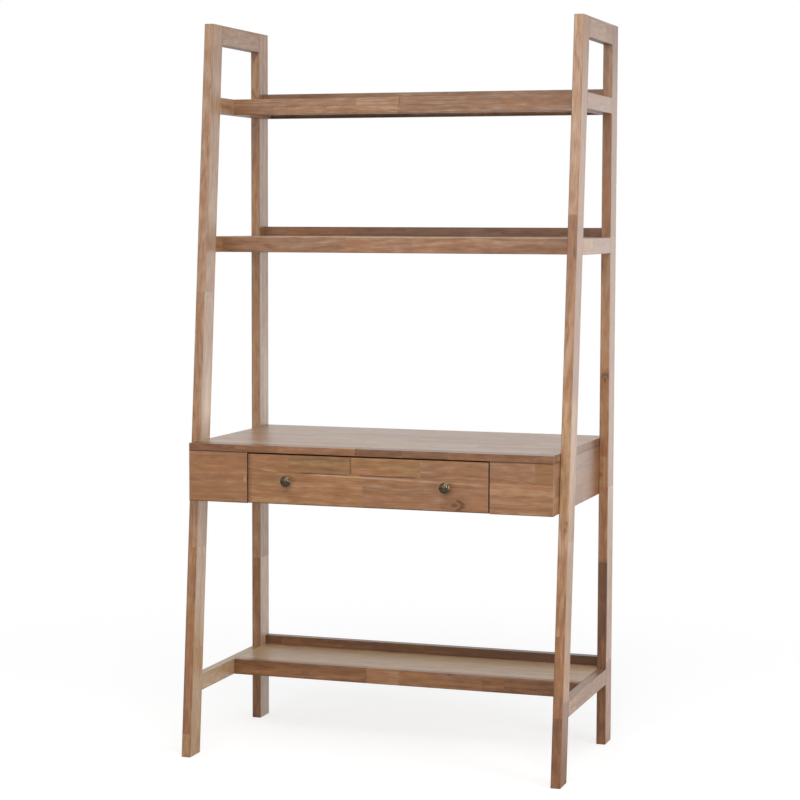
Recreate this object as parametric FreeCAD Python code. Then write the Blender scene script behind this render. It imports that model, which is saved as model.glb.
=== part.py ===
import FreeCAD, Part
import math
import os

# Ladder desk. Millimetres, +Z up, +X to the right, the sitter at -Y.
# The pieces are worked out with the rear face of the rear legs at Y = 0, and moved at the end so
# that the origin is at the bottom centre of the whole desk.

# Side frames
overall_width = 940.0
overall_height = 1764.0
foot_depth = 515.0  # from the rear face to the front of a front leg, at the floor
top_depth = 355.0  # the same, at the top of the leg
frame_thickness = 23.0
leg_depth = 60.0
top_rail_height = 48.0
rail_height = 38.5  # the lower side rails, and the shelf aprons level with them
tenon_thickness = 8.0
tenon_shoulder = 7.0
tenon_length = 25.0

# Shelves: places of the top faces, and depths from the rear face
top_shelf_drop = 175.0  # below the tops of the legs
top_shelf_depth = 228.0
middle_shelf_drop = 337.0  # below the top shelf
middle_shelf_depth = 304.0
lower_shelf_height = 189.0
lower_shelf_depth = 237.0
shelf_panel_thickness = 16.0
apron_thickness = 20.0
back_rail_thickness = 25.0
lip_height = 23.0
cleat_width = 18.0

# Desk case
desk_height = 762.0
desktop_thickness = 17.0
case_height = 138.0  # with the desktop
case_depth = 513.0
case_board = 18.0
flank_width = 149.5  # the panels beside the drawer

# Drawer
drawer_side_gap = 2.0
drawer_top_gap = 3.0
drawer_bottom_gap = 1.0
drawer_front_thickness = 20.0
drawer_board = 12.0
drawer_side_height = 90.0
drawer_bottom_thickness = 5.0
drawer_bottom_raise = 10.0
drawer_groove_depth = 6.0
drawer_rear_room = 75.0

# Drawer slides, one sheet-metal section inside the next
slide_width = 12.7
slide_height = 45.0
slide_sheet = 1.2
slide_gap = 0.4
slide_web_gap = 0.8
slide_lip = 1.4
slide_lip_inset = 1.7
slide_flange_start = 4.0

# Knobs
knob_spacing = 390.0
knob_drop = 2.5  # below the middle of the drawer front
knob_diameter = 27.0
knob_projection = 22.0
knob_base_diameter = 15.0
knob_base_height = 2.0
knob_neck_diameter = 9.0
knob_neck_length = 11.0
knob_base_slope = 1.0
knob_head_slope = 2.0
knob_rim_height = 3.0
knob_rim_width = 1.8
knob_hole_depth = 11.0

# Fasteners
screw_radius = 2.0
screw_head_radius = 4.0
screw_head_height = 2.4
screw_tip_length = 4.0
screw_tip_radius = 0.3
screw_cover = 8.0  # wood left beyond the tip of a frame screw
screw_clearance = 0.05
screw_inset = 25.0
slide_screw_radius = 1.6
slide_screw_head_radius = 3.2
slide_screw_cover = 3.0
slide_screw_places = (0.08, 0.5, 0.92)
front_screw_cover = 6.0
front_screw_inset = 40.0
front_screw_rise = 22.0
knob_screw_head_height = 2.5

# Eased edges
edge_radius = 1.5
fine_edge_radius = 0.8
edge_margin = 1.0  # an edge this close to a face belongs to it

# Places that follow from the sizes
outer_x = overall_width / 2
inner_x = outer_x - frame_thickness
top_shelf_height = overall_height - top_shelf_drop
middle_shelf_height = top_shelf_height - middle_shelf_drop
case_low = desk_height - case_height
case_high = desk_height - desktop_thickness
case_back_front = -case_board
flank_back = -case_depth + case_board
opening_x = inner_x - flank_width
drawer_x = opening_x - slide_width
drawer_inner_x = drawer_x - drawer_board
drawer_front_low = case_low + drawer_bottom_gap
drawer_front_high = case_high - drawer_top_gap
drawer_middle_z = (drawer_front_low + drawer_front_high) / 2
knob_z = drawer_middle_z - knob_drop
box_front_y = -case_depth + drawer_front_thickness
slide_length = case_depth - drawer_front_thickness - case_board - drawer_rear_room
box_back_y = box_front_y + slide_length
box_low = drawer_middle_z - drawer_side_height / 2
box_high = drawer_middle_z + drawer_side_height / 2
bottom_low = box_low + drawer_bottom_raise
bottom_high = bottom_low + drawer_bottom_thickness
overall_depth = max(case_depth + knob_projection, foot_depth)

x_axis = FreeCAD.Vector(1, 0, 0)
y_axis = FreeCAD.Vector(0, 1, 0)
z_axis = FreeCAD.Vector(0, 0, 1)
leg_direction = FreeCAD.Vector(0, foot_depth - top_depth, overall_height)


def leg_front(z):
    """Y of the front face of a front leg at height z."""
    return -foot_depth + (foot_depth - top_depth) * z / overall_height


def leg_back(z):
    """Y of the back face of a front leg at height z."""
    return leg_front(z) + leg_depth


def block(x_span, y_span, z_span):
    """Rectangular board between pairs of limits."""
    sizes = [abs(span[1] - span[0]) for span in (x_span, y_span, z_span)]
    corner = FreeCAD.Vector(min(x_span), min(y_span), min(z_span))
    return Part.makeBox(sizes[0], sizes[1], sizes[2], corner)


def prism_along_x(outline, x_span):
    """Prism of a (y, z) outline between two X limits."""
    points = [FreeCAD.Vector(x_span[0], y, z) for y, z in outline]
    face = Part.Face(Part.makePolygon(points + points[:1]))
    return face.extrude(FreeCAD.Vector(x_span[1] - x_span[0], 0, 0))


def prism_along_y(outline, y_span):
    """Prism of an (x, z) outline between two Y limits."""
    points = [FreeCAD.Vector(x, y_span[0], z) for x, z in outline]
    face = Part.Face(Part.makePolygon(points + points[:1]))
    return face.extrude(FreeCAD.Vector(0, y_span[1] - y_span[0], 0))


def parallel(edge, direction):
    """True for a straight edge along the given direction."""
    run = edge.Vertexes[-1].Point - edge.Vertexes[0].Point
    return run.cross(direction).Length < 1e-6 * run.Length * direction.Length


def eased(shape, direction, radius, keep=None):
    """Round the edges along a direction; keep picks among them by their centre."""
    edges = [edge for edge in shape.Edges if parallel(edge, direction)]
    if keep:
        edges = [edge for edge in edges if keep(edge.CenterOfMass)]
    return shape.makeFillet(radius, edges)


def eased_ends(leg):
    """A leg with its top and foot eased all round."""
    edges = []
    for edge in leg.Edges:
        z = edge.CenterOfMass.z
        if z < edge_margin or z > overall_height - edge_margin:
            edges.append(edge)
    return leg.makeFillet(fine_edge_radius, edges)


def mirrored(shape):
    """The same piece on the other side of the desk."""
    return shape.mirror(FreeCAD.Vector(0, 0, 0), x_axis)


def screw(head_point, direction, length, radius, head_radius, head_height, room=0.0):
    """Countersunk screw from its flat head face; room widens it into the hole that it needs."""
    tip_point = head_point + direction * (length - screw_tip_length)
    head = Part.makeCone(head_radius + room, radius + room, head_height, head_point, direction)
    shank = Part.makeCylinder(radius + room, length - screw_tip_length, head_point, direction)
    tip_radii = (radius + room, screw_tip_radius + room)
    tip = Part.makeCone(tip_radii[0], tip_radii[1], screw_tip_length + room, tip_point, direction)
    return head.fuse([shank, tip]).removeSplitter()


def screw_pair(head_point, direction, length, radius, head_radius, head_height):
    """A screw and the hole that it needs."""
    sizes = (head_point, direction, length, radius, head_radius, head_height)
    return screw(*sizes), screw(*sizes, room=screw_clearance)


def drilled(shape, holes):
    """The shape with all the holes cut out of it."""
    return shape.cut(holes).removeSplitter() if holes else shape


def middle_band():
    """X limits of a tenon in the left frame."""
    centre = -outer_x + frame_thickness / 2
    return (centre - tenon_thickness / 2, centre + tenon_thickness / 2)


def front_tenon(z_low, z_high):
    """Tenon of a left side rail in the front leg; its end follows the slant of the leg."""
    low = z_low + tenon_shoulder
    high = z_high - tenon_shoulder
    outline = [
        (leg_back(low) - tenon_length, low),
        (leg_back(low), low),
        (leg_back(high), high),
        (leg_back(high) - tenon_length, high),
    ]
    return prism_along_x(outline, middle_band())


def rear_tenon(z_low, z_high):
    """Tenon of a left side rail in the rear leg."""
    z_span = (z_low + tenon_shoulder, z_high - tenon_shoulder)
    return block(middle_band(), (-leg_depth, -leg_depth + tenon_length), z_span)


def side_rail(z_low, z_high):
    """Left side rail with its shoulders against the legs and a tenon at each end."""
    outline = [
        (leg_back(z_low), z_low),
        (-leg_depth, z_low),
        (-leg_depth, z_high),
        (leg_back(z_high), z_high),
    ]
    rail = eased(prism_along_x(outline, (-outer_x, -inner_x)), y_axis, edge_radius)
    return rail.fuse([front_tenon(z_low, z_high), rear_tenon(z_low, z_high)]).removeSplitter()


def rail_spans():
    """Height limits of the side rails, by name."""
    return {
        "top_rail": (overall_height - top_rail_height, overall_height),
        "upper_rail": (top_shelf_height - rail_height, top_shelf_height),
        "middle_rail": (middle_shelf_height - rail_height, middle_shelf_height),
        "lower_rail": (lower_shelf_height - rail_height, lower_shelf_height),
    }


def front_leg():
    """Left front leg: slanted, its ends level, with a mortise for each rail."""
    outline = [
        (leg_front(0), 0),
        (leg_back(0), 0),
        (leg_back(overall_height), overall_height),
        (leg_front(overall_height), overall_height),
    ]
    leg = eased(prism_along_x(outline, (-outer_x, -inner_x)), leg_direction, edge_radius)
    leg = eased_ends(leg)
    return leg.cut([front_tenon(*span) for span in rail_spans().values()])


def rear_leg():
    """Left rear leg: upright, with a mortise for each rail."""
    leg = block((-outer_x, -inner_x), (-leg_depth, 0), (0, overall_height))
    leg = eased_ends(eased(leg, z_axis, edge_radius))
    return leg.cut([rear_tenon(*span) for span in rail_spans().values()])


def case_screw_pairs():
    """Screws from inside the left case side into the two left legs."""
    length = case_board + frame_thickness - screw_cover
    pairs = []
    for z in (case_low + screw_inset, case_high - screw_inset):
        front_y = leg_front(z) + leg_depth / 2
        rear_y = -(case_board + leg_depth) / 2
        for y in (front_y, rear_y):
            head_point = FreeCAD.Vector(-inner_x + case_board, y, z)
            sizes = (screw_radius, screw_head_radius, screw_head_height)
            pairs.append(screw_pair(head_point, -x_axis, length, *sizes))
    return pairs


def cleat_screw_pairs(height, depth):
    """Screws from a shelf's left cleat into the left side rail."""
    length = cleat_width + frame_thickness - screw_cover
    z = height - (shelf_panel_thickness + rail_height) / 2
    pairs = []
    for y in (-depth + apron_thickness + screw_inset, -leg_depth - screw_inset):
        head_point = FreeCAD.Vector(-inner_x + cleat_width, y, z)
        sizes = (screw_radius, screw_head_radius, screw_head_height)
        pairs.append(screw_pair(head_point, -x_axis, length, *sizes))
    return pairs


def shelf_table():
    """Height and depth of each shelf, with the side rail that carries it."""
    return {
        "top_shelf": (top_shelf_height, top_shelf_depth, "upper_rail"),
        "middle_shelf": (middle_shelf_height, middle_shelf_depth, "middle_rail"),
        "lower_shelf": (lower_shelf_height, lower_shelf_depth, "lower_rail"),
    }


def shelf_pieces(height, depth):
    """Panel, apron, back rail and left cleat of one shelf."""
    span = (-inner_x, inner_x)
    low = height - rail_height
    apron_back = -depth + apron_thickness
    panel_low = height - shelf_panel_thickness
    panel = block(span, (apron_back, -back_rail_thickness), (panel_low, height))
    apron = block(span, (-depth, apron_back), (low, height))
    front_or_low = lambda c: c.y < apron_back - edge_margin or c.z < low + edge_margin
    apron = eased(apron, x_axis, edge_radius, front_or_low)
    back_rail = block(span, (-back_rail_thickness, 0), (low, height + lip_height))
    rear_or_top = lambda c: c.y > -edge_margin or c.z > height + edge_margin
    back_rail = eased(back_rail, x_axis, edge_radius, rear_or_top)
    cleat_span = (-inner_x, -inner_x + cleat_width)
    cleat = block(cleat_span, (apron_back, -back_rail_thickness), (low, panel_low))
    return {"panel": panel, "apron": apron, "back_rail": back_rail, "cleat": cleat}


def shelves():
    """All shelf nodes, and the holes that their screws need in the left side rails."""
    nodes = {}
    screws = []
    rail_holes = {}
    for name, (height, depth, rail_name) in shelf_table().items():
        pieces = shelf_pieces(height, depth)
        pairs = cleat_screw_pairs(height, depth)
        holes = [pair[1] for pair in pairs]
        cleat = drilled(pieces["cleat"], holes)
        nodes[name + "_panel"] = pieces["panel"]
        nodes[name + "_apron"] = pieces["apron"]
        nodes[name + "_back_rail"] = pieces["back_rail"]
        nodes[name + "_left_cleat"] = cleat
        nodes[name + "_right_cleat"] = mirrored(cleat)
        rail_holes[rail_name] = holes
        screws += [pair[0] for pair in pairs]
    nodes["shelf_screws"] = Part.makeCompound(screws + [mirrored(part) for part in screws])
    return nodes, rail_holes


def side_frames(rail_holes, leg_holes):
    """The six members of each side frame."""
    members = {"front_leg": drilled(front_leg(), leg_holes)}
    members["rear_leg"] = drilled(rear_leg(), leg_holes)
    for name, span in rail_spans().items():
        members[name] = drilled(side_rail(*span), rail_holes.get(name))
    nodes = {}
    for name, shape in members.items():
        nodes["left_" + name] = shape
        nodes["right_" + name] = mirrored(shape)
    return nodes


def desktop():
    """Desktop, eased all round except at its lower rear edge."""
    top = block((-inner_x, inner_x), (-case_depth, 0), (case_high, desk_height))
    edges = []
    for edge in top.Edges:
        centre = edge.CenterOfMass
        if centre.y < -edge_margin or centre.z > desk_height - edge_margin:
            edges.append(edge)
    return top.makeFillet(fine_edge_radius, edges)


def desk_case(side_holes, divider_holes):
    """Desktop, case boards and the flank panels beside the drawer."""
    z_span = (case_low, case_high)
    side = block((-inner_x, -inner_x + case_board), (flank_back, 0), z_span)
    side = drilled(side, side_holes)
    flank = block((-inner_x, -opening_x), (-case_depth, flank_back), z_span)
    flank_edges = [edge for edge in flank.Edges if edge.CenterOfMass.y < -case_depth + edge_margin]
    flank = flank.makeFillet(fine_edge_radius, flank_edges)
    divider = block((-opening_x - case_board, -opening_x), (flank_back, case_back_front), z_span)
    divider = drilled(divider, divider_holes)
    back_x = inner_x - case_board
    return {
        "desktop": desktop(),
        "case_back": block((-back_x, back_x), (case_back_front, 0), z_span),
        "case_left_side": side,
        "case_right_side": mirrored(side),
        "left_flank": flank,
        "right_flank": mirrored(flank),
        "left_divider": divider,
        "right_divider": mirrored(divider),
    }


def slide_section(name):
    """Half outline of a left slide member: (distance from the divider, height) above its middle."""
    outer_high = slide_height / 2
    outer_low = outer_high - slide_sheet
    middle_high = outer_low - slide_gap
    middle_low = middle_high - slide_sheet
    inner_high = middle_low - slide_gap
    inner_low = inner_high - slide_sheet
    lip_end = slide_width - slide_lip_inset
    lip_start = lip_end - slide_sheet
    middle_start = slide_sheet + slide_web_gap
    inner_web = slide_width - slide_sheet
    case_half = [
        (0, outer_high),
        (lip_end, outer_high),
        (lip_end, outer_low - slide_lip),
        (lip_start, outer_low - slide_lip),
        (lip_start, outer_low),
        (slide_sheet, outer_low),
    ]
    middle_half = [
        (middle_start, middle_high),
        (lip_start - slide_gap, middle_high),
        (lip_start - slide_gap, middle_low),
        (middle_start + slide_sheet, middle_low),
    ]
    drawer_half = [
        (slide_width, inner_high),
        (slide_flange_start, inner_high),
        (slide_flange_start, inner_low),
        (inner_web, inner_low),
    ]
    return {"case": case_half, "middle": middle_half, "drawer": drawer_half}[name]


def slide_member(name):
    """One member of the left slide, the full length of the slide."""
    half = [(-opening_x + reach, rise) for reach, rise in slide_section(name)]
    upper = [(x, drawer_middle_z + rise) for x, rise in half]
    lower = [(x, drawer_middle_z - rise) for x, rise in reversed(half)]
    return prism_along_y(upper + lower, (box_front_y, box_back_y))


def slide_screw_pairs(face_x, direction, board):
    """Screws through a slide member into the board behind it."""
    length = slide_sheet + board - slide_screw_cover
    pairs = []
    for share in slide_screw_places:
        head_point = FreeCAD.Vector(face_x, box_front_y + share * slide_length, drawer_middle_z)
        sizes = (slide_screw_radius, slide_screw_head_radius, slide_sheet)
        pairs.append(screw_pair(head_point, direction, length, *sizes))
    return pairs


def slides(case_holes, drawer_holes):
    """Both drawer slides, three members each."""
    members = {
        "case": drilled(slide_member("case"), case_holes),
        "middle": slide_member("middle"),
        "drawer": drilled(slide_member("drawer"), drawer_holes),
    }
    nodes = {}
    for name, shape in members.items():
        nodes["left_slide_" + name + "_member"] = shape
        nodes["right_slide_" + name + "_member"] = mirrored(shape)
    return nodes


def knob_solid():
    """Left knob: base, neck and a domed head inside a raised rim, turned about its own axis."""
    head_start = knob_base_height + knob_neck_length
    rim_end = head_start + knob_rim_height
    head_radius = knob_diameter / 2
    dome_edge = head_radius - knob_rim_width
    dome_height = knob_projection - rim_end
    dome_radius = (dome_edge**2 + dome_height**2) / (2 * dome_height)
    dome_centre = knob_projection - dome_radius
    half_angle = math.asin(dome_edge / dome_radius) / 2
    shoulder = (
        dome_radius * math.sin(half_angle),
        dome_centre + dome_radius * math.cos(half_angle),
    )
    profile = [
        (0, 0),
        (knob_base_diameter / 2, 0),
        (knob_base_diameter / 2, knob_base_height),
        (knob_neck_diameter / 2, knob_base_height + knob_base_slope),
        (knob_neck_diameter / 2, head_start - knob_head_slope),
        (dome_edge, head_start),
        (head_radius, head_start + knob_rim_height / 2),
        (head_radius - knob_rim_width / 2, rim_end),
        (dome_edge, rim_end),
    ]
    place = FreeCAD.Vector(-knob_spacing / 2, -case_depth, knob_z)

    def point(radius, reach):
        return place + FreeCAD.Vector(radius, -reach, 0)

    corners = [point(radius, reach) for radius, reach in profile]
    edges = [Part.makeLine(start, end) for start, end in zip(corners, corners[1:])]
    top = point(0, knob_projection)
    edges.append(Part.Arc(corners[-1], point(*shoulder), top).toShape())
    edges.append(Part.makeLine(top, corners[0]))
    face = Part.Face(Part.Wire(edges))
    return face.revolve(place, y_axis, 360)


def knob_screw_pair():
    """Left knob's screw: a flat head inside the drawer box, and its end inside the knob."""
    head_y = box_front_y + drawer_board
    head_point = FreeCAD.Vector(-knob_spacing / 2, head_y, knob_z)
    length = head_y + case_depth + knob_hole_depth
    shapes = []
    for room in (0.0, screw_clearance):
        shank = Part.makeCylinder(screw_radius + room, length + room, head_point, -y_axis)
        head = Part.makeCylinder(screw_head_radius, knob_screw_head_height, head_point, y_axis)
        shapes.append(shank.fuse(head).removeSplitter())
    return shapes


def front_screw_pairs():
    """Screws from the left half of the drawer box into the drawer front."""
    length = drawer_board + drawer_front_thickness - front_screw_cover
    pairs = []
    for rise in (-front_screw_rise, front_screw_rise):
        head_y = box_front_y + drawer_board
        x = -drawer_inner_x + front_screw_inset
        head_point = FreeCAD.Vector(x, head_y, drawer_middle_z + rise)
        sizes = (screw_radius, screw_head_radius, screw_head_height)
        pairs.append(screw_pair(head_point, -y_axis, length, *sizes))
    return pairs


def drawer_front(holes):
    """Drawer front with its outer edges eased."""
    front_x = opening_x - drawer_side_gap
    z_span = (drawer_front_low, drawer_front_high)
    front = block((-front_x, front_x), (-case_depth, box_front_y), z_span)
    front_limit = -case_depth + edge_margin
    edges = [edge for edge in front.Edges if edge.CenterOfMass.y < front_limit]
    return drilled(front.makeFillet(fine_edge_radius, edges), holes)


def drawer(side_holes, knob, knob_hole, front_holes):
    """Drawer front, the box behind it and the two knobs."""
    both_holes = front_holes + [mirrored(hole) for hole in front_holes]
    both_holes += [knob_hole, mirrored(knob_hole)]
    box_front_back = box_front_y + drawer_board
    groove_x = drawer_inner_x + drawer_groove_depth
    groove_span = (box_front_back - drawer_groove_depth, box_back_y)
    bottom = block((-groove_x, groove_x), groove_span, (bottom_low, bottom_high))
    side = block((-drawer_x, -drawer_inner_x), (box_front_y, box_back_y), (box_low, box_high))
    side = drilled(side.cut(bottom), side_holes)
    inner_span = (-drawer_inner_x, drawer_inner_x)
    box_front = block(inner_span, (box_front_y, box_front_back), (box_low, box_high))
    back_span = (box_back_y - drawer_board, box_back_y)
    return {
        "drawer_front": drawer_front(both_holes),
        "drawer_box_front": drilled(box_front.cut(bottom), both_holes),
        "drawer_left_side": side,
        "drawer_right_side": mirrored(side),
        "drawer_back": block(inner_span, back_span, (bottom_high, box_high)),
        "drawer_bottom": bottom,
        "left_knob": drilled(knob, [knob_hole]),
        "right_knob": mirrored(drilled(knob, [knob_hole])),
    }


def both_sides(shapes):
    """Group of the given solids and their mirror images."""
    return Part.makeCompound(shapes + [mirrored(shape) for shape in shapes])


def build():
    """Every node of the desk, by name."""
    case_pairs = case_screw_pairs()
    case_holes = [pair[1] for pair in case_pairs]
    divider_pairs = slide_screw_pairs(-opening_x + slide_sheet, -x_axis, case_board)
    divider_holes = [pair[1] for pair in divider_pairs]
    inner_pairs = slide_screw_pairs(-opening_x + slide_width - slide_sheet, x_axis, drawer_board)
    inner_holes = [pair[1] for pair in inner_pairs]
    front_pairs = front_screw_pairs()
    knob_screw, knob_hole = knob_screw_pair()

    nodes, rail_holes = shelves()
    nodes.update(side_frames(rail_holes, case_holes))
    nodes.update(desk_case(case_holes, divider_holes))
    nodes.update(slides(divider_holes, inner_holes))
    front_holes = [pair[1] for pair in front_pairs]
    nodes.update(drawer(inner_holes, knob_solid(), knob_hole, front_holes))
    nodes["case_screws"] = both_sides([pair[0] for pair in case_pairs])
    nodes["slide_case_screws"] = both_sides([pair[0] for pair in divider_pairs])
    nodes["slide_drawer_screws"] = both_sides([pair[0] for pair in inner_pairs])
    nodes["drawer_front_screws"] = both_sides([pair[0] for pair in front_pairs])
    nodes["knob_screws"] = both_sides([knob_screw])
    return nodes


def main():
    os.makedirs("parts", exist_ok=True)
    to_origin = FreeCAD.Vector(0, overall_depth / 2, 0)
    for name, shape in build().items():
        placed = shape.copy()
        placed.translate(to_origin)
        placed.exportStep("parts/" + name + ".step")


main()
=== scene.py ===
import math
from functools import partial
from inspect import signature

import bmesh
import bpy
from bpy.props import FloatProperty, FloatVectorProperty, PointerProperty
from mathutils import Matrix, Vector


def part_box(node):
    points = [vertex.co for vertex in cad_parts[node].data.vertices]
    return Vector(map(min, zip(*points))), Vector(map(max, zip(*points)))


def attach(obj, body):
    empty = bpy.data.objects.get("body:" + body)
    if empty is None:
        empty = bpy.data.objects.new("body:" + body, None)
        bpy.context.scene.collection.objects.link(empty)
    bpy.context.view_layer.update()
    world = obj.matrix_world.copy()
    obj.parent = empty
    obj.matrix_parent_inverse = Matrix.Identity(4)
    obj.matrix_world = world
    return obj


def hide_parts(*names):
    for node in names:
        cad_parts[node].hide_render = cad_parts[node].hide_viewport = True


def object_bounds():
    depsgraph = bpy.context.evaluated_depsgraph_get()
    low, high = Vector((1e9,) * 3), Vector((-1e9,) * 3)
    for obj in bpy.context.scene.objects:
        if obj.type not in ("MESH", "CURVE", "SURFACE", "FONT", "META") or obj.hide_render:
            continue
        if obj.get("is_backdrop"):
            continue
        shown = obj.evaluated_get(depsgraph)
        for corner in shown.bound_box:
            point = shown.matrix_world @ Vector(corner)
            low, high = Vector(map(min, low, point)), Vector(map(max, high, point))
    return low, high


bl_info = {
    "name": "Ladder Desk",
    "version": (1, 0, 0),
    "blender": (4, 5, 0),
    "location": "3D View > Sidebar > Ladder Desk",
    "description": "Acacia boards, antique brass knobs and steel slides for a ladder desk",
    "category": "Object",
}

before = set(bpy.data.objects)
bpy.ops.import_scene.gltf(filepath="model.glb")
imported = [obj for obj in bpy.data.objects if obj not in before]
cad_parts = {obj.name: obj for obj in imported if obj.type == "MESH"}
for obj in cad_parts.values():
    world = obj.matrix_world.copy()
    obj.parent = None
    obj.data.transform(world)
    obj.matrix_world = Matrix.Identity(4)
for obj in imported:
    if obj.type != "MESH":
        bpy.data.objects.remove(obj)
cad_box = [list(corner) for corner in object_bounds()]

X = Vector((1, 0, 0))
Y = Vector((0, 1, 0))
Z = Vector((0, 0, 1))
NOWHERE = (0.0, 0.0, 0.0)
WHITE = (1, 1, 1, 1)

DRAWER_BODY = "drawer"

KNOB_LOW, KNOB_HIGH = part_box("left_knob")
LEG_LOW, LEG_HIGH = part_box("left_front_leg")
REAR_LEG_LOW, REAR_LEG_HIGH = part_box("left_rear_leg")

# --- Wood laid out one by one ---
# Lengths are in metres. Along a board they measure from the middle of the desk, along a leg from
# the floor. Across a board they measure from its lower or front edge.

# Rows of staves: the two edges of a row, then its staves. A stave has its start along the board,
# its tone (0 dark heartwood, 1 pale sapwood) and its hue (0 olive, 0.5 golden, 1 greyed).
# Everywhere else the staves are random.
LAID_ROWS = {
    "drawer_front": (
        (0.0, 0.074, (-0.300, 0.51, 0.25), (-0.010, 0.47, 0.66)),
        (0.074, 0.130, (-0.300, 0.47, 0.32), (-0.195, 0.45, 0.06), (-0.039, 0.50, 0.16),
         (0.130, 0.46, 0.60)),
    ),
    "desktop": (
        (-0.002, 0.042, (-0.450, 0.36, 0.30), (-0.329, 0.39, 0.46), (-0.222, 0.42, 0.50),
         (-0.028, 0.35, 0.58), (0.085, 0.32, 0.60), (0.198, 0.39, 0.38), (0.395, 0.38, 0.50)),
    ),
    "left_flank": ((-0.010, 0.150, (-0.450, 0.49, 0.46)),),
    "right_flank": (
        (-0.010, 0.044, (0.250, 0.50, 0.62)),
        (0.044, 0.072, (0.250, 0.55, 0.40)),
        (0.072, 0.150, (0.250, 0.46, 0.72), (0.404, 0.43, 0.20)),
    ),
    # The lower shelf's rows grow paler towards the back: painted light that evens out the shade of the
    # desk case above.
    "lower_shelf_panel": (
        (-0.010, 0.046, (-0.450, 0.78, 0.40), (-0.120, 0.81, 0.30), (0.210, 0.77, 0.42)),
        (0.046, 0.092, (-0.450, 0.80, 0.32), (-0.260, 0.84, 0.42), (0.080, 0.80, 0.30)),
        (0.092, 0.138, (-0.450, 0.88, 0.42), (0.010, 0.85, 0.32), (0.280, 0.87, 0.30)),
        (0.138, 0.200, (-0.450, 0.90, 0.34), (-0.180, 0.92, 0.30), (0.160, 0.90, 0.40)),
    ),
    "top_shelf_apron": (
        (-0.002, 0.019, (-0.450, 0.41, 0.84), (-0.343, 0.51, 0.88), (-0.205, 0.53, 0.70),
         (-0.022, 0.47, 0.86), (0.180, 0.48, 0.72)),
        (0.019, 0.045, (-0.450, 0.48, 1.00), (-0.129, 0.54, 0.78), (-0.018, 0.47, 0.88),
         (0.240, 0.47, 0.70)),
    ),
    "middle_shelf_apron": (
        (-0.002, 0.045, (-0.450, 0.47, 0.80), (-0.128, 0.50, 0.66), (0.040, 0.50, 0.70)),
    ),
    "lower_shelf_apron": (
        (-0.002, 0.045, (-0.450, 0.39, 0.34), (-0.098, 0.51, 0.44), (-0.012, 0.44, 0.52),
         (0.200, 0.37, 0.50), (0.255, 0.34, 0.40)),
    ),
    "left_front_leg": (
        (-0.002, 0.001, (-0.010, 0.58, 0.45), (0.052, 0.48, 0.54), (0.503, 0.55, 0.66),
         (1.120, 0.57, 0.78)),
        (0.001, 0.070, (-0.010, 0.73, 0.34), (0.262, 0.76, 0.62), (0.503, 0.69, 0.64),
         (1.120, 0.58, 0.68)),
    ),
    "right_front_leg": (
        (-0.002, 0.001, (-0.010, 0.35, 0.50), (0.156, 0.46, 0.40), (0.345, 0.54, 0.34),
         (0.886, 0.56, 0.56), (1.050, 0.51, 0.66), (1.180, 0.43, 0.70), (1.310, 0.58, 0.74)),
        (0.001, 0.070, (-0.010, 0.37, 0.30), (0.190, 0.58, 0.40), (0.560, 0.51, 0.26),
         (0.886, 0.42, 0.48), (1.310, 0.46, 0.42)),
    ),
    "left_rear_leg": (
        (-0.002, 0.001, (-0.010, 0.48, 0.50), (0.417, 0.60, 0.34), (1.200, 0.55, 0.45)),
        (0.001, 0.070, (-0.010, 0.84, 0.84), (0.417, 0.65, 0.80), (1.200, 0.60, 0.70)),
    ),
    "right_rear_leg": (
        (-0.002, 0.001, (-0.010, 0.34, 0.50), (0.451, 0.52, 0.52), (0.634, 0.58, 0.48),
         (0.716, 0.53, 0.70), (0.814, 0.53, 0.42), (1.250, 0.43, 0.48), (1.560, 0.48, 1.00)),
        (0.001, 0.070, (-0.010, 0.53, 0.66), (0.200, 0.67, 0.76), (0.451, 0.65, 0.68),
         (0.640, 0.47, 0.48), (0.920, 0.42, 0.48), (1.250, 0.34, 0.42)),
    ),
}

# Knots: the place along, across and through the board, and the radius
KNOTS = {
    "drawer_front": (((0.2146, 0.0155, 0.0), 0.0094),),
    "right_front_leg": (((0.602, 0.0, -0.4656), 0.0029), ((0.588, 0.0, -0.4638), 0.0023)),
    "right_rear_leg": (((0.668, 0.0, -0.4524), 0.0033), ((0.905, 0.0, -0.4600), 0.0070)),
}


def slanted(start, end, width, change, fade=0.08):
    """A streak between two places along and across the board, and how it changes the tone.

    Each end fades over a share of its length.
    """
    places = {"start": (*start, 0.0), "end": (*end, 0.0)}
    return {**places, "width": width, "change": change, "fade": fade}


def level(across, start, end, *look):
    """A streak along the grain."""
    return slanted((start, across), (end, across), *look)


def upright(along, low, high, *look):
    """A streak straight across the grain."""
    return slanted((along, low), (along, high), *look)
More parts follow.
